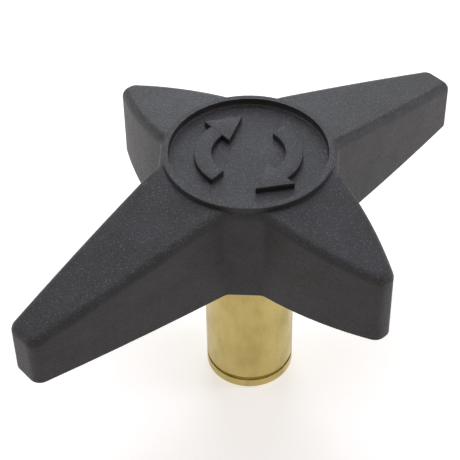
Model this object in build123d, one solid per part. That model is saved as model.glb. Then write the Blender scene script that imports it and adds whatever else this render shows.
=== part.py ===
from build123d import *
import math
import os

# Star knob: a one-piece moulded plastic grip with two long and two short arms,
# moulded round a turned brass bushing that hangs below it.
# Origin: centre of the bushing's lower end face. +Z up the turning axis,
# +X along the long arms, +Y along the short arms. All sizes in millimetres.

# Overall
total_height = 81.9           # bushing end face to the lip of the top disc
grip_height = 30.3            # underside of the arms to the lip of the top disc
grip_bottom = total_height - grip_height
draft_deg = 0.3               # mould draft on the outer walls

# Top disc
disc_radius = 22.7
lip_width = 1.6
disc_rise = 1.2               # lip above the flat top of the hub
recess_depth = 2.2
recess_cove = 0.6             # where the recess wall meets its floor
lip_edge = 0.25               # rounding on the outer edge of the lip
hub_top = total_height - disc_rise

# Plan of the arms at the underside: each side is one bowed arc that starts
# near the axis and ends at the tip face
side_start = (14.0, 14.2)     # along the arm, half width
long_reach = 75.7
long_tip_half = 5.0
long_bow = 0.53
short_reach = 51.8
short_tip_half = 2.3
short_bow = 2.0
hub_flat = 23.7               # axis to each upright flat between two arms
tip_corner = 3.1              # upright corners at the tips
root_cove = 3.0               # upright coves between arms and flats

# Tops of the arms
long_slope_deg = 14.9
short_slope_deg = 13.8
long_knee = 21.3              # where the slope would meet the flat hub top
short_knee = 20.5
knee_radius = 20.0
edge_radius = 2.5             # rounding of all upper outer edges

# Cored underside
wall = 3.2
roof_thickness = 3.6
rib_thickness = 2.4
rib_step_back = 3.0           # cross ribs start this far inside the underside
core_start = 22.0             # along each arm, from the axis
long_core_end = 71.0
short_core_end = 46.0
long_ribs = (32.0, 43.0, 54.0, 64.0)
short_ribs = (32.0, 41.0)
long_spine_end = 54.0
short_spine_end = 32.0

# Brass bushing
stem_radius = 12.7
ring_groove_low = 3.1         # retaining ring groove near the lower end
ring_groove_width = 1.45
ring_groove_depth = 0.75
stem_chamfer = 0.45
shank_radius = 12.1           # turned down where the plastic grips it
neck_low = grip_bottom + 9.0  # anchoring neck inside the plastic
neck_width = 3.5
neck_radius = 10.6
head_height = 8.0
head_flats = 31.0             # hexagonal anchoring head, across flats
head_chamfer = 0.8
thread_radius = 7.94          # 5/8 in thread, root radius of the tapped hole
thread_depth = 40.0
mouth_chamfer = 0.9
drill_half_angle_deg = 59.0

clear = 100.0                 # half width of cutting bodies, beyond the part
overlap = 1.0                 # how far bodies run into each other before joining


def arm_plan(reach, tip_half, bow):
    """Plan face of one arm along +X with bowed sides and a square tip."""
    start = Vector(*side_start)
    tip = Vector(reach, tip_half)
    chord = (tip - start).normalized()
    outward = Vector(-chord.Y, chord.X)
    end = Polyline((0, 0), (reach, 0), tip)
    side = ThreePointArc(tip, (start + tip) * 0.5 + outward * bow, start)
    root = Polyline(start, (0, start.Y), (0, 0))
    half = make_face([*end.edges(), side, *root.edges()])
    return half + mirror(half, about=Plane.XZ)


def star_plan():
    """Plan face of the grip at the underside, before coves and corners."""
    long_arm = arm_plan(long_reach, long_tip_half, long_bow)
    short_arm = Rot(0, 0, 90) * arm_plan(short_reach, short_tip_half, short_bow)
    hub_square = Rot(0, 0, 45) * Rectangle(2 * hub_flat, 2 * hub_flat)
    hub = hub_square & Rectangle(2 * disc_radius, 2 * disc_radius)
    arms = long_arm + mirror(long_arm, about=Plane.YZ)
    arms = arms + short_arm + mirror(short_arm, about=Plane.XZ)
    return arms + hub


def is_tip(vertex):
    """True for a corner on one of the four tip faces."""
    return abs(vertex.X) > long_reach - 0.1 or abs(vertex.Y) > short_reach - 0.1


def rounded_star():
    """Star plan with coves between arms and flats, and rounded tips."""
    star = star_plan()
    roots = [v for v in star.vertices() if not is_tip(v)]
    star = fillet(roots, root_cove)
    tips = [v for v in star.vertices() if is_tip(v)]
    return fillet(tips, tip_corner)


def roof_cutter(reach, knee, slope_deg, drop):
    """Body above one arm's top: level over the hub, then sloping to the tip."""
    level = hub_top - drop
    end_x = reach + wall
    end_z = level - (end_x - knee) * math.tan(math.radians(slope_deg))
    top = total_height + wall
    outline = Polyline(
        (0, level), (knee, level), (end_x, end_z), (end_x, top), (0, top), close=True
    )
    profile = make_face(outline)
    bend = profile.vertices().sort_by_distance((knee, level))[0]
    profile = fillet(bend, knee_radius)
    return extrude(Plane.XZ * profile, clear, both=True)


def cut_roof(body, drop):
    """Body with everything above the arm tops, lowered by drop, taken off."""
    long_cut = roof_cutter(long_reach, long_knee, long_slope_deg, drop)
    short_cut = Rot(0, 0, 90) * roof_cutter(short_reach, short_knee, short_slope_deg, drop)
    cuts = [long_cut, mirror(long_cut, about=Plane.YZ)]
    cuts += [short_cut, mirror(short_cut, about=Plane.XZ)]
    return body - cuts


def outer_edges(body):
    """Upper outer edges: those that only one of the top faces has."""
    tops = [f for f in body.faces() if f.normal_at().Z > 0.5]
    edges = [e for f in tops for e in f.edges()]
    return [e for e in edges if sum(e.is_same(other) for other in edges) == 1]


def arms_and_hub():
    """Solid star with drafted walls, sloping tops and rounded upper edges."""
    plan = Pos(0, 0, grip_bottom) * rounded_star()
    body = extrude(plan, grip_height + overlap, taper=draft_deg)
    body = cut_roof(body, 0)
    return fillet(outer_edges(body), edge_radius)


def top_disc():
    """Round plate that stands above the hub, with a lip round its recess."""
    plate = Pos(0, 0, hub_top - overlap) * extrude(Circle(disc_radius), disc_rise + overlap)
    return fillet(plate.edges().group_by(Axis.Z)[-1], lip_edge)


def disc_recess():
    """Body of the recess inside the lip, with a cove round its floor."""
    radius = disc_radius - lip_width
    cut = extrude(Circle(radius), recess_depth + overlap)
    cut = Pos(0, 0, total_height - recess_depth) * cut
    return fillet(cut.edges().group_by(Axis.Z)[0], recess_cove)


def rib_grid(bars, spine_end):
    """Cross ribs at the given distances and a spine that ends at the stated one."""
    low = grip_bottom + rib_step_back
    spine = Pos(spine_end / 2, 0, low) * extrude(Rectangle(spine_end, rib_thickness), grip_height)
    bar = Pos(0, 0, low) * extrude(Rectangle(rib_thickness, 2 * hub_flat), grip_height)
    return [spine, *[Pos(place, 0, 0) * bar for place in bars]]


def arm_core(plan, end, knee, slope_deg, ribs):
    """Hollow under one arm along +X, with the ribs standing in it."""
    fall = math.tan(math.radians(slope_deg))
    ceiling = hub_top - roof_thickness
    section = Polyline(
        (core_start, grip_bottom),
        (end, grip_bottom),
        (end, ceiling - (end - knee) * fall),
        (core_start, ceiling - (core_start - knee) * fall),
        close=True,
    )
    band = extrude(Plane.XZ * make_face(section), 2 * hub_flat, both=True)
    hollow = extrude(Pos(0, 0, grip_bottom) * plan, grip_height) & band
    return hollow - ribs


def core_hollows():
    """Hollows under the four arms."""
    plan = offset(rounded_star(), -wall)
    long_grid = rib_grid(long_ribs, long_spine_end)
    short_grid = rib_grid(short_ribs, short_spine_end)
    along = arm_core(plan, long_core_end, long_knee, long_slope_deg, long_grid)
    turned = Rot(0, 0, -90) * plan
    across = arm_core(turned, short_core_end, short_knee, short_slope_deg, short_grid)
    across = Rot(0, 0, 90) * across
    return [along, mirror(along, about=Plane.YZ), across, mirror(across, about=Plane.XZ)]


def bushing_outside():
    """Outer form of the bushing: grooved stem, moulded-in shank, neck and hexagonal head."""
    groove_top = ring_groove_low + ring_groove_width
    groove_radius = stem_radius - ring_groove_depth
    neck_top = neck_low + neck_width
    outline = Polyline(
        (0, 0),
        (stem_radius - stem_chamfer, 0),
        (stem_radius, stem_chamfer),
        (stem_radius, ring_groove_low),
        (groove_radius, ring_groove_low),
        (groove_radius, groove_top),
        (stem_radius, groove_top),
        (stem_radius, grip_bottom),
        (shank_radius, grip_bottom),
        (shank_radius, neck_low),
        (neck_radius, neck_low),
        (neck_radius, neck_top),
        (0, neck_top),
        close=True,
    )
    stem = revolve(Plane.XZ * make_face(outline), Axis.Z)
    hexagon = RegularPolygon(head_flats / 2, 6, major_radius=False)
    head = extrude(Pos(0, 0, neck_top) * hexagon, head_height)
    head = chamfer(head.edges().group_by(Axis.Z)[-1], head_chamfer)
    return stem + head


def tapped_hole():
    """Blind hole from below, to the root of its thread, with a drilled point."""
    point = thread_radius / math.tan(math.radians(drill_half_angle_deg))
    outline = Polyline(
        (0, 0),
        (thread_radius + mouth_chamfer, 0),
        (thread_radius, mouth_chamfer),
        (thread_radius, thread_depth),
        (0, thread_depth + point),
        close=True,
    )
    return revolve(Plane.XZ * make_face(outline), Axis.Z)


def make_bushing():
    """Turned brass bushing with its tapped hole."""
    return bushing_outside() - tapped_hole()


def make_grip():
    """One-piece moulded grip, with the space that the bushing fills."""
    grip = arms_and_hub() + top_disc() - disc_recess()
    grip = grip - core_hollows()
    return grip - bushing_outside()


if __name__ == "__main__":
    os.makedirs("parts", exist_ok=True)
    export_step(make_grip(), "parts/star_grip.step")
    export_step(make_bushing(), "parts/threaded_bushing.step")
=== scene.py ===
"""Star knob: a moulded nylon grip on a turned brass bushing, dressed for its studio view."""

import bpy
import logging
import math
from dataclasses import dataclass, field
from enum import Enum
from typing import Any

from mathutils import Matrix, Vector


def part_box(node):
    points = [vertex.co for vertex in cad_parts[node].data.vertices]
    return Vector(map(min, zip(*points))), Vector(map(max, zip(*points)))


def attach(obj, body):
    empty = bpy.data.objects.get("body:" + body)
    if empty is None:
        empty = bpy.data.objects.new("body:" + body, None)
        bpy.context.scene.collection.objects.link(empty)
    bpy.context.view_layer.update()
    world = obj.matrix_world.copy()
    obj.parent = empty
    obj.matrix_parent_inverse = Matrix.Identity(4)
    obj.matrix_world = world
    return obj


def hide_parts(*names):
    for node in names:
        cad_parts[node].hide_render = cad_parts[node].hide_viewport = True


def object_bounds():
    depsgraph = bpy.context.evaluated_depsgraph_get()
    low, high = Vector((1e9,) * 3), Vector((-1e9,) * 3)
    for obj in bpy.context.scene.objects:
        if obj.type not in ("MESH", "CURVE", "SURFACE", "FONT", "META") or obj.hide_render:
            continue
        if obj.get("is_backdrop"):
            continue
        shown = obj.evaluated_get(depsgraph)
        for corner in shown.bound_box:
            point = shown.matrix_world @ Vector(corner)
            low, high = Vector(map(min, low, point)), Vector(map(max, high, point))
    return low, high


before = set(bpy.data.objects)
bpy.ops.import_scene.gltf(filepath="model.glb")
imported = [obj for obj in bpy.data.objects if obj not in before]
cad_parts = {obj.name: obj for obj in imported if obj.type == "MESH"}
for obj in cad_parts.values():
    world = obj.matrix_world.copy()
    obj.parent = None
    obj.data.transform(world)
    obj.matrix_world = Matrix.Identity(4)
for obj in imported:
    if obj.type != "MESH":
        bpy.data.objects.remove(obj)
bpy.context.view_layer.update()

log = logging.getLogger("star_knob")

MM = 0.001             # lengths are in metres
UPWARD = "upward"      # a piece's own attribute: 1 on a face that looks up, 0 on a wall
BODY = "root"          # the one body that every piece rides on
WELD = 0.001 * MM      # corners nearer than this become one


class Slot(Enum):
    """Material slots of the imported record."""

    GRIP = "grip"
    BUSHING = "bushing"


class Turn(Enum):
    """Sense of a turning arrow, seen from above."""

    CLOCKWISE = -1
    COUNTER_CLOCKWISE = 1


def linear(hex_colour: str) -> tuple[float, float, float, float]:
    """Turns an sRGB hex colour into linear light.

    Args:
        hex_colour: Colour as "#rrggbb".

    Returns:
        Linear red, green, blue and an alpha of 1.
    """
    channels = [int(hex_colour[i : i + 2], 16) / 255 for i in (1, 3, 5)]
    light = [c / 12.92 if c <= 0.04045 else ((c + 0.055) / 1.055) ** 2.4 for c in channels]
    return (*light, 1.0)


def add_node(
    tree: bpy.types.NodeTree, kind: str, links: dict | None = None, **settings: Any
) -> bpy.types.Node:
    """Adds a node with its settings and incoming links.

    Args:
        tree: Node tree that gets the node.
        kind: Node type, such as "ShaderNodeTexNoise".
        links: Input name or index to a source socket, or to a plain value.
        settings: Properties set on the node itself.

    Returns:
        The new node.
    """
    node = tree.nodes.new(kind)
    for name, value in settings.items():
        setattr(node, name, value)
    for name, value in (links or {}).items():
        if isinstance(value, bpy.types.NodeSocket):
            tree.links.new(value, node.inputs[name])
        else:
            node.inputs[name].default_value = value
    return node


def new_material(name: str) -> tuple[bpy.types.Material, bpy.types.NodeTree]:
    """Makes an empty node material.

    Args:
        name: Name of the material.

    Returns:
        The material and its node tree.
    """
    material = bpy.data.materials.new(name)
    material.use_nodes = True
    material.node_tree.nodes.clear()
    return material, material.node_tree


def grain_scale(size_mm: float) -> float:
    """Noise scale, on coordinates in metres, for a pattern of a size in millimetres."""
    return 1 / (size_mm * MM)


@dataclass(frozen=True)
class MouldedNylon:
    """Glass-filled nylon from a spark-eroded mould: matt black with a fine glassy sparkle, partly glass at
    the skin and partly painted glints that are stronger on tops that face the lamps.
    """

    name: str = "glass_filled_nylon_moulded"
    dark: str = "#181812"                # the black nylon itself
    light: str = "#6e6b78"               # glass at the skin, pale flow marks and painted glints
    ior: float = 1.45
    roughness: float = 0.52
    smoother: float = 0.08               # how far the roughness falls and rises with the grain
    rougher: float = 0.1
    flow_mm: float = 9.0                 # cloudy marks where the melt flowed
    flow_share: float = 0.12             # of the light colour in the palest of them
    grain_mm: float = 0.7                # mould grain, coarser than its real 0.2 mm so that it shows
    grain_depth_mm: float = 0.2
    glint_mm: float = 0.5                # specks of glass at the skin and painted glints, drawn coarser than real so that they show
    glint_core: float = 0.15             # where a glint is full and where it ends, in its own cell
    glint_rim: float = 0.42
    glint_rare: float = 0.3              # cells with a lower random value stay dull
    wall_share: float = 0.12             # share of the painted glints kept on the side walls, which the lamps light less than the tops

    def build(self) -> bpy.types.Material:
        """Builds the material.

        Returns:
            The finished material.
        """
        material, tree = new_material(self.name)
        place = add_node(tree, "ShaderNodeTexCoord").outputs["Object"]
        flow = add_node(
            tree,
            "ShaderNodeTexNoise",
            {"Vector": place, "Scale": grain_scale(self.flow_mm), "Detail": 3.0, "Roughness": 0.6},
        )
        grain = add_node(
            tree,
            "ShaderNodeTexNoise",
            {"Vector": place, "Scale": grain_scale(self.grain_mm), "Detail": 3.0, "Roughness": 0.7},
        )
        glints = add_node(
            tree, "ShaderNodeTexVoronoi", {"Vector": place, "Scale": grain_scale(self.glint_mm)}
        )
        fibre_and_glint = add_node(
            tree,
            "ShaderNodeMapRange",
            {
                "Value": glints.outputs["Distance"],
                "From Min": self.glint_core,
                "From Max": self.glint_rim,
                "To Min": 1.0,
                "To Max": 0.0,
            },
        )
        rare = add_node(
            tree,
            "ShaderNodeMapRange",
            {"Value": glints.outputs["Color"], "From Min": self.glint_rare, "From Max": 0.95},
        )
        sparkle = add_node(
            tree,
            "ShaderNodeMath",
            {0: fibre_and_glint.outputs["Result"], 1: rare.outputs["Result"]},
            operation="MULTIPLY",
        )
        cloud = add_node(
            tree,
            "ShaderNodeMapRange",
            {"Value": flow.outputs["Fac"], "From Min": 0.3, "From Max": 0.7, "To Max": self.flow_share},
        )
        facing = add_node(tree, "ShaderNodeAttribute", attribute_name=UPWARD)
        lit_share = add_node(
            tree,
            "ShaderNodeMapRange",
            {
                "Value": facing.outputs["Fac"],
                "From Min": 0.2,
                "From Max": 0.9,
                "To Min": self.wall_share,
            },
        )
        # painted glints: light specks in the colour, full on tops that face the lamps and fainter on walls
        skin = add_node(
            tree,
            "ShaderNodeMath",
            {0: sparkle.outputs[0], 1: lit_share.outputs["Result"]},
            operation="MULTIPLY",
        )
        mixed = add_node(
            tree,
            "ShaderNodeMath",
            {0: cloud.outputs["Result"], 1: skin.outputs[0]},
            operation="ADD",
            use_clamp=True,
        )
        colour = add_node(
            tree,
            "ShaderNodeMix",
            {"Factor": mixed.outputs[0], "A": linear(self.dark), "B": linear(self.light)},
            data_type="RGBA",
        )
        dull = add_node(
            tree,
            "ShaderNodeMapRange",
            {
                "Value": grain.outputs["Fac"],
                "From Min": 0.3,
                "From Max": 0.7,
                "To Min": self.roughness - self.smoother,
                "To Max": self.roughness + self.rougher,
            },
        )
        bump = add_node(
            tree,
            "ShaderNodeBump",
            {"Height": grain.outputs["Fac"], "Strength": 1.0, "Distance": self.grain_depth_mm * MM},
        )
        surface = add_node(
            tree,
            "ShaderNodeBsdfPrincipled",
            {
                "Base Color": colour.outputs["Result"],
                "Roughness": dull.outputs["Result"],
                "IOR": self.ior,
                "Normal": bump.outputs["Normal"],
            },
        )
        add_node(tree, "ShaderNodeOutputMaterial", {"Surface": surface.outputs["BSDF"]})
        return material


@dataclass(frozen=True)
class TurnedBrass:
    """Free-cutting brass, turned and handled: soft satin rings, faint tarnish and scuffs."""

    name: str = "free_cutting_brass_turned"
    clean: str = "#bfad6e"
    tarnished: str = "#94804a"
    roughness: float = 0.3
    smoother: float = 0.06               # how far the roughness falls and rises with the tarnish
    rougher: float = 0.16
    tool_pitch_mm: float = 0.35          # turning tool's feed marks, coarser than real so that they show
    mark_depth_mm: float = 0.004
    mark_strength: float = 0.35
    ring_stretch: float = 0.02           # draws the feed marks out into rings round the stem
    scuff_mm: float = 7.0                # patches that hands leave
    scuff_share: float = 0.6             # of the tarnished colour in the darkest of them
    nick_mm: float = 1.6                 # small slanted nicks inside those patches
    nick_share: float = 0.55
    nick_slant: float = 0.6              # radians
    edge_mm: float = 0.25                # how round the turned edges catch the light

    def build(self) -> bpy.types.Material:
        """Builds the material.

        Returns:
            The finished material.
        """
        material, tree = new_material(self.name)
        place = add_node(tree, "ShaderNodeTexCoord").outputs["Object"]
        rings = add_node(
            tree,
            "ShaderNodeMapping",
            {"Vector": place, "Scale": (self.ring_stretch, self.ring_stretch, 1.0)},
        )
        feed = add_node(
            tree,
            "ShaderNodeTexNoise",
            {"Vector": rings.outputs["Vector"], "Scale": grain_scale(self.tool_pitch_mm), "Detail": 2.0},
        )
        streaks = add_node(
            tree,
            "ShaderNodeMapping",
            {"Vector": place, "Scale": (1.0, 1.0, 0.45)},
        )
        stain = add_node(
            tree,
            "ShaderNodeTexNoise",
            {
                "Vector": streaks.outputs["Vector"],
                "Scale": grain_scale(self.scuff_mm),
                "Detail": 5.0,
                "Roughness": 0.62,
            },
        )
        patch = add_node(
            tree,
            "ShaderNodeMapRange",
            {"Value": stain.outputs["Fac"], "From Min": 0.45, "From Max": 0.8, "To Max": self.scuff_share},
        )
        slanted = add_node(
            tree,
            "ShaderNodeMapping",
            {"Vector": place, "Rotation": (self.nick_slant, 0.0, 0.0), "Scale": (1.0, 1.0, 0.3)},
        )
        scratches = add_node(
            tree,
            "ShaderNodeTexNoise",
            {
                "Vector": slanted.outputs["Vector"],
                "Scale": grain_scale(self.nick_mm),
                "Detail": 4.0,
                "Roughness": 0.7,
            },
        )
        nicked = add_node(
            tree,
            "ShaderNodeMapRange",
            {
                "Value": scratches.outputs["Fac"],
                "From Min": 0.6,
                "From Max": 0.72,
                "To Max": self.nick_share,
            },
        )
        worn = add_node(
            tree,
            "ShaderNodeMapRange",
            {"Value": stain.outputs["Fac"], "From Min": 0.46, "From Max": 0.62},
        )
        nicks = add_node(
            tree,
            "ShaderNodeMath",
            {0: nicked.outputs["Result"], 1: worn.outputs["Result"]},
            operation="MULTIPLY",
        )
        marks = add_node(
            tree,
            "ShaderNodeMath",
            {0: patch.outputs["Result"], 1: nicks.outputs[0]},
            operation="ADD",
            use_clamp=True,
        )
        colour = add_node(
            tree,
            "ShaderNodeMix",
            {"Factor": marks.outputs[0], "A": linear(self.clean), "B": linear(self.tarnished)},
            data_type="RGBA",
        )
        dull = add_node(
            tree,
            "ShaderNodeMapRange",
            {
                "Value": stain.outputs["Fac"],
                "From Min": 0.35,
                "From Max": 0.75,
                "To Min": self.roughness - self.smoother,
                "To Max": self.roughness + self.rougher,
            },
        )
        edges = add_node(tree, "ShaderNodeBevel", {"Radius": self.edge_mm * MM}, samples=6)
        bump = add_node(
            tree,
            "ShaderNodeBump",
            {
                "Height": feed.outputs["Fac"],
                "Strength": self.mark_strength,
                "Distance": self.mark_depth_mm * MM,
                "Normal": edges.outputs["Normal"],
            },
        )
        surface = add_node(
            tree,
            "ShaderNodeBsdfPrincipled",
            {
                "Base Color": colour.outputs["Result"],
                "Metallic": 1.0,
                "Roughness": dull.outputs["Result"],
                "Normal": bump.outputs["Normal"],
            },
        )
        add_node(tree, "ShaderNodeOutputMaterial", {"Surface": surface.outputs["BSDF"]})
        return material


@dataclass(frozen=True)
class PaleFloor:
    """Matt white sweep: shows as white, and still keeps the shadow of what stands on it."""

    name: str = "white_paper_matt"
    colour: str = "#f1f0ee"
    shown_glow: str = "#fffefc"          # lifts the paper to white where it shows as background
    shown_lift: float = 0.55

    def build(self) -> bpy.types.Material:
        """Builds the material.

        Returns:
            The finished material.
        """
        material, tree = new_material(self.name)
        paper = add_node(tree, "ShaderNodeBsdfDiffuse", {"Color": linear(self.colour)})
        glow = add_node(
            tree, "ShaderNodeEmission", {"Color": linear(self.shown_glow), "Strength": self.shown_lift}
        )
        lifted = add_node(tree, "ShaderNodeAddShader", {0: paper.outputs[0], 1: glow.outputs[0]})
        seen = shown_rays(tree)
        pick = add_node(tree, "ShaderNodeMixShader", {0: seen, 1: paper.outputs[0], 2: lifted.outputs[0]})
        add_node(tree, "ShaderNodeOutputMaterial", {"Surface": pick.outputs[0]})
        return material


def shown_rays(tree: bpy.types.NodeTree) -> bpy.types.NodeSocket:
    """Factor of 1 for rays that show a background: camera, glossy and transmission.

    Args:
        tree: Node tree that gets the nodes.

    Returns:
        Socket with the factor.
    """
    path = add_node(tree, "ShaderNodeLightPath")
    first = add_node(
        tree,
        "ShaderNodeMath",
        {0: path.outputs["Is Camera Ray"], 1: path.outputs["Is Glossy Ray"]},
        operation="MAXIMUM",
    )
    both = add_node(
        tree,
        "ShaderNodeMath",
        {0: first.outputs[0], 1: path.outputs["Is Transmission Ray"]},
        operation="MAXIMUM",
    )
    return both.outputs[0]


def only(piece: bpy.types.Object) -> None:
    """Leaves one object selected and active.

    Args:
        piece: That object.
    """
    bpy.ops.object.select_all(action="DESELECT")
    piece.select_set(True)
    bpy.context.view_layer.objects.active = piece


def settle(piece: bpy.types.Object) -> None:
    """Moves an object's place into its mesh, so that it sits unturned at the origin.

    Args:
        piece: The object.
    """
    only(piece)
    bpy.ops.object.transform_apply(location=True, rotation=True, scale=True)


def apply_modifier(piece: bpy.types.Object, kind: str, **settings: Any) -> None:
    """Adds a modifier with its settings and applies it.

    Args:
        piece: Object that gets it.
        kind: Modifier type, such as "BEVEL".
        settings: Properties set on the modifier.
    """
    only(piece)
    modifier = piece.modifiers.new(kind.lower(), kind)
    for name, value in settings.items():
        setattr(modifier, name, value)
    bpy.ops.object.modifier_apply(modifier=modifier.name)


def mark_upward(piece: bpy.types.Object) -> None:
    """Stores how far each face of a piece looks up, so that the painted glints are stronger on tops, which
    face the lamps, than on walls.

    Args:
        piece: Finished piece.
    """
    upward = piece.data.attributes.new(UPWARD, "FLOAT", "FACE")
    upward.data.foreach_set("value", [face.normal.z for face in piece.data.polygons])


def dress(piece: bpy.types.Object, finish: bpy.types.Material) -> None:
    """Gives a piece its material and slot, and lets it ride on the body.

    Args:
        piece: Finished piece.
        finish: Its material.
    """
    piece.data.materials.clear()
    piece.data.materials.append(finish)
    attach(piece, BODY)


def smooth_copy(node: str, name: str, crease_deg: float) -> bpy.types.Object:
    """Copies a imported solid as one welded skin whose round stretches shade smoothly.

    Args:
        node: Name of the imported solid.
        name: Name of the new piece.
        crease_deg: Edges that turn more than this stay sharp.

    Returns:
        The new piece, which replaces the solid.
    """
    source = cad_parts[node]
    piece = bpy.data.objects.new(name, source.data.copy())
    bpy.context.scene.collection.objects.link(piece)
    only(piece)
    bpy.ops.object.mode_set(mode="EDIT")
    bpy.ops.mesh.select_all(action="SELECT")
    bpy.ops.mesh.remove_doubles(threshold=WELD)
    bpy.ops.object.mode_set(mode="OBJECT")
    bpy.ops.mesh.customdata_custom_splitnormals_clear()
    bpy.ops.object.shade_smooth_by_angle(angle=math.radians(crease_deg))
    apply_modifier(piece, "WEIGHTED_NORMAL", keep_sharp=True, weight=80)
    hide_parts(node)
    return piece


@dataclass
class Grip:
    """Moulded grip: four arms, hub and the top disc with its lip."""

    finish: MouldedNylon = field(default_factory=MouldedNylon)
    crease_deg: float = 28.0             # edges that turn more than this stay sharp

    def build(self) -> list[bpy.types.Object]:
        """Builds and dresses the grip.

        Returns:
            The grip, in a list.
        """
        grip = smooth_copy("star_grip", "star_grip_skin", self.crease_deg)
        mark_upward(grip)
        dress(grip, self.finish.build())
        return [grip]


@dataclass
class TurningArrows:
    """Two plain curved arrows moulded in relief on the floor of the disc's recess."""

    finish: MouldedNylon = field(default_factory=lambda: MouldedNylon(name="glass_filled_nylon_relief"))
    turn: Turn = Turn.CLOCKWISE
    radius: float = 12.0 * MM            # knob's axis to the middle of the bar
    band: float = 4.6 * MM               # width of the bar
    height: float = 1.6 * MM             # above the floor of the recess
    sink: float = 0.3 * MM               # below it, out of sight
    recess_depth: float = 2.2 * MM
    sweep_deg: float = 98.0
    head_radius: float = 6.0 * MM        # middle of the three-sided head to its corners
    step_down: float = 0.1 * MM          # the bar's top under the head's
    overlap: float = 0.8 * MM            # of the head over the bar's end
    start_deg: float = 7.0               # direction of the first arrow's tail
    steps: int = 24
    edge: float = 0.2 * MM               # moulded edges are a little round
    edge_deg: float = 50.0               # corners that turn more than this get one
    crease_deg: float = 35.0

    @property
    def base(self) -> float:
        """Height of the arrows' hidden underside, just inside the recess floor."""
        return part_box("star_grip")[1][2] - self.recess_depth - self.sink

    def around(self, angle_deg: float, distance: float) -> Vector:
        """Returns the point at a distance from the axis, level with the arrows' underside."""
        angle = math.radians(angle_deg)
        return Vector((math.cos(angle) * distance, math.sin(angle) * distance, self.base))

    def curved_bar(self, name: str) -> bpy.types.Object:
        """Models the curved bar: a short edge spun round the axis, then thickened.

        Args:
            name: Name of the piece.

        Returns:
            The bar as a closed prism.
        """
        bpy.ops.object.select_all(action="DESELECT")
        bpy.ops.mesh.primitive_plane_add(size=self.band, location=(self.radius, self.band / 2, self.base))
        bar = bpy.context.object
        bar.name = name
        settle(bar)
        bpy.ops.object.mode_set(mode="EDIT")
        bpy.ops.mesh.select_all(action="DESELECT")
        bpy.ops.object.mode_set(mode="OBJECT")
        for vertex in bar.data.vertices:
            vertex.select = vertex.co.y > self.band / 2
        bpy.ops.object.mode_set(mode="EDIT")
        bpy.ops.mesh.delete(type="VERT")
        bpy.ops.mesh.select_all(action="SELECT")
        sweep = math.radians(self.sweep_deg) * self.turn.value
        bpy.ops.mesh.spin(steps=self.steps, angle=-sweep, center=(0, 0, self.base), axis=(0, 0, 1))
        bpy.ops.mesh.select_all(action="SELECT")
        bpy.ops.mesh.remove_doubles(threshold=WELD)
        bpy.ops.mesh.normals_make_consistent(inside=False)
        bpy.ops.object.mode_set(mode="OBJECT")
        depth = self.height + self.sink - self.step_down
        apply_modifier(bar, "SOLIDIFY", thickness=depth, offset=0)
        bar.location.z = depth / 2
        settle(bar)
        return bar

    def head(self) -> bpy.types.Object:
        """Models the three-sided head, its flat side just over the bar's end.

        Returns:
            The head as a closed prism.
        """
        end_deg = self.sweep_deg * self.turn.value
        heading_deg = end_deg + 90 * self.turn.value
        forward = self.around(heading_deg, self.head_radius / 2 - self.overlap)
        place = self.around(end_deg, self.radius) + forward
        depth = self.height + self.sink
        place.z = self.base + depth / 2
        bpy.ops.object.select_all(action="DESELECT")
        bpy.ops.mesh.primitive_cylinder_add(
            vertices=3,
            radius=self.head_radius,
            depth=depth,
            location=place,
            rotation=(0, 0, math.radians(heading_deg - 90)),
        )
        head = bpy.context.object
        settle(head)
        return head

    def arrow(self, name: str, start_deg: float) -> bpy.types.Object:
        """Models one arrow lying on the recess floor.

        Args:
            name: Name of the piece.
            start_deg: Direction of its tail from the axis.

        Returns:
            The finished arrow.
        """
        piece = self.curved_bar(name)
        head = self.head()
        only(piece)
        head.select_set(True)
        bpy.ops.object.join()
        piece.rotation_euler.z = math.radians(start_deg)
        settle(piece)
        apply_modifier(
            piece,
            "BEVEL",
            width=self.edge,
            segments=2,
            limit_method="ANGLE",
            angle_limit=math.radians(self.edge_deg),
        )
        bpy.ops.object.shade_smooth_by_angle(angle=math.radians(self.crease_deg))
        return piece

    def build(self) -> list[bpy.types.Object]:
        """Builds and dresses both arrows.

        Returns:
            The arrows.
        """
        material = self.finish.build()
        arrows = []
        for number, turned in enumerate((0.0, 180.0), start=1):
            piece = self.arrow(f"turning_arrow_{number}", self.start_deg + turned)
            mark_upward(piece)
            dress(piece, material)
            arrows.append(piece)
        return arrows


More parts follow.
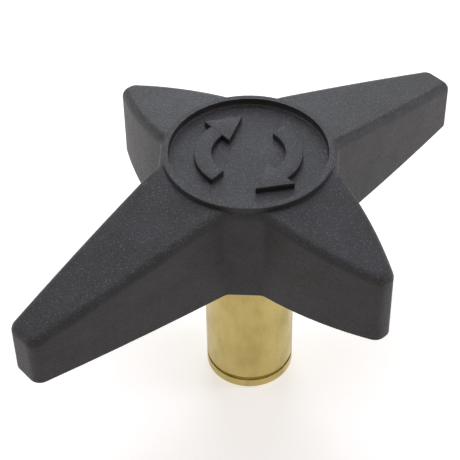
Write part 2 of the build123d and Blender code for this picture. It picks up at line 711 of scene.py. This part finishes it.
@dataclass
class Bushing:
    """Turned brass bushing with the ridge of its internal thread."""

    finish: TurnedBrass = field(default_factory=TurnedBrass)
    crease_deg: float = 28.0
    thread_radius: float = 7.94 * MM     # 5/8 in thread
    thread_pitch: float = 2.31 * MM      # 11 threads to the inch
    thread_start: float = 1.6 * MM       # above the lower end face
    thread_turns: int = 16
    thread_crease_deg: float = 40.0
    ridge_size: float = 0.95 * MM        # middle of the three-sided ridge to its corners
    ridge_sink: float = 0.25 * MM        # how far its foot stands in the wall
    steps: int = 40

    def thread(self) -> bpy.types.Object:
        """Models the thread as one helical ridge on the wall of the hole.

        Returns:
            The closed ridge.
        """
        inward = self.ridge_size / 2
        centre = self.thread_radius + self.ridge_sink - inward
        bpy.ops.object.select_all(action="DESELECT")
        bpy.ops.mesh.primitive_circle_add(
            vertices=3,
            radius=self.ridge_size,
            location=(centre, 0, self.thread_start),
            rotation=(math.pi / 2, -math.pi / 2, 0),
        )
        ridge = bpy.context.object
        ridge.name = "thread_ridge"
        settle(ridge)
        apply_modifier(
            ridge,
            "SCREW",
            axis="Z",
            screw_offset=self.thread_pitch,
            iterations=self.thread_turns,
            steps=self.steps,
            render_steps=self.steps,
            use_normal_calculate=True,
        )
        bpy.ops.object.mode_set(mode="EDIT")
        bpy.ops.mesh.select_all(action="DESELECT")
        bpy.ops.mesh.select_non_manifold()
        bpy.ops.mesh.fill()
        bpy.ops.mesh.select_all(action="SELECT")
        bpy.ops.mesh.normals_make_consistent(inside=False)
        bpy.ops.object.mode_set(mode="OBJECT")
        bpy.ops.object.shade_smooth_by_angle(angle=math.radians(self.thread_crease_deg))
        return ridge

    def build(self) -> list[bpy.types.Object]:
        """Builds and dresses the bushing and its thread.

        Returns:
            The bushing and the ridge.
        """
        material = self.finish.build()
        bushing = smooth_copy("threaded_bushing", "threaded_bushing_skin", self.crease_deg)
        ridge = self.thread()
        for piece in (bushing, ridge):
            dress(piece, material)
        return [bushing, ridge]


@dataclass(frozen=True)
class Lamp:
    """One square soft box that points at the knob."""

    name: str
    azimuth_deg: float
    elevation_deg: float
    power: float                         # watts
    colour: str
    size: float = 0.5                    # metres
    distance: float = 0.9                # metres from the knob's top

    def build(self, target: Vector) -> bpy.types.Object:
        """Places the lamp.

        Args:
            target: Point that it faces.

        Returns:
            The lamp.
        """
        data = bpy.data.lights.new(self.name, "AREA")
        data.size = self.size
        data.energy = self.power
        data.color = linear(self.colour)[:3]
        lamp = bpy.data.objects.new(self.name, data)
        bpy.context.scene.collection.objects.link(lamp)
        away = direction(self.azimuth_deg, self.elevation_deg)
        lamp.location = target + away * self.distance
        lamp.rotation_euler = away.to_track_quat("Z", "Y").to_euler()
        return lamp


def direction(azimuth_deg: float, elevation_deg: float) -> Vector:
    """Points a unit vector.

    Args:
        azimuth_deg: Angle round +Z from +X.
        elevation_deg: Angle above the floor.

    Returns:
        The vector.
    """
    azimuth = math.radians(azimuth_deg)
    elevation = math.radians(elevation_deg)
    level = math.cos(elevation)
    return Vector((level * math.cos(azimuth), level * math.sin(azimuth), math.sin(elevation)))


@dataclass
class Studio:
    """Pale floor, soft light all round and a long-lens camera high in front of two arms."""

    floor_size: float = 6.0              # metres
    world_strength: float = 0.32
    world_colour: str = "#fff1e0"
    camera_azimuth_deg: float = -130.82
    camera_elevation_deg: float = 44.23
    camera_roll_deg: float = -1.05
    camera_distance: float = 363.35 * MM
    aim_right: float = -4.83 * MM        # aim point from the knob's top, across the view
    aim_up: float = -21.02 * MM
    lens: float = 108.81
    sensor: float = 36.0
    lamps: tuple[Lamp, ...] = (
        Lamp("low_back_softbox", 50, 24, 2.35, "#e8f6ff"),
        Lamp("high_back_softbox", 50, 68, 2.75, "#e6e3ff"),
        Lamp("left_softbox", 126, 17, 0.9, "#ece8ff", size=0.35),
        Lamp("right_softbox", -37, 22, 2.0, "#ece8ff", size=0.35),
    )

    def build(self) -> None:
        """Builds the floor, the world, the lamps and the camera."""
        top = Vector((0, 0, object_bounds()[1][2]))
        self.floor()
        self.world()
        for lamp in self.lamps:
            lamp.build(top)
        self.camera(top)

    def floor(self) -> None:
        """Lays the floor."""
        bpy.ops.object.select_all(action="DESELECT")
        bpy.ops.mesh.primitive_plane_add(size=self.floor_size, location=(0, 0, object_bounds()[0][2]))
        floor = bpy.context.object
        floor.name = "studio_floor"
        floor.data.materials.append(PaleFloor().build())
        floor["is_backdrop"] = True

    def world(self) -> None:
        """Sets an even surrounding light that shows as white."""
        world = bpy.data.worlds.new("studio")
        bpy.context.scene.world = world
        world.use_nodes = True
        tree = world.node_tree
        tree.nodes.clear()
        light = add_node(
            tree,
            "ShaderNodeBackground",
            {"Color": linear(self.world_colour), "Strength": self.world_strength},
        )
        shown = add_node(tree, "ShaderNodeBackground", {"Strength": 1.0})
        pick = add_node(
            tree, "ShaderNodeMixShader", {0: shown_rays(tree), 1: light.outputs[0], 2: shown.outputs[0]}
        )
        add_node(tree, "ShaderNodeOutputWorld", {"Surface": pick.outputs[0]})

    def camera(self, top: Vector) -> None:
        """Sets the camera.

        Args:
            top: Centre of the knob's top disc.
        """
        towards = direction(self.camera_azimuth_deg, self.camera_elevation_deg)
        level = direction(self.camera_azimuth_deg + 90, 0)
        upright = towards.cross(level)
        roll = math.radians(self.camera_roll_deg)
        right = level * math.cos(roll) + upright * math.sin(roll)
        up = upright * math.cos(roll) - level * math.sin(roll)
        aim = top + right * self.aim_right + up * self.aim_up
        data = bpy.data.cameras.new("studio_camera")
        data.lens = self.lens
        data.sensor_width = self.sensor
        camera = bpy.data.objects.new("studio_camera", data)
        bpy.context.scene.collection.objects.link(camera)
        turn = Matrix((right, up, towards)).transposed().to_4x4()
        camera.matrix_world = Matrix.Translation(aim + towards * self.camera_distance) @ turn
        bpy.context.scene.camera = camera


def main() -> None:
    """Builds every sub-assembly in order, reports its pieces and sets up the studio."""
    logging.basicConfig(level=logging.INFO)
    for assembly in (Grip(), TurningArrows(), Bushing()):
        for piece in assembly.build():
            log.info("%s: %s, %d faces", type(assembly).__name__, piece.name, len(piece.data.polygons))
    Studio().build()
    bpy.context.scene.view_settings.view_transform = "Standard"


if __name__ == "__main__":
    main()
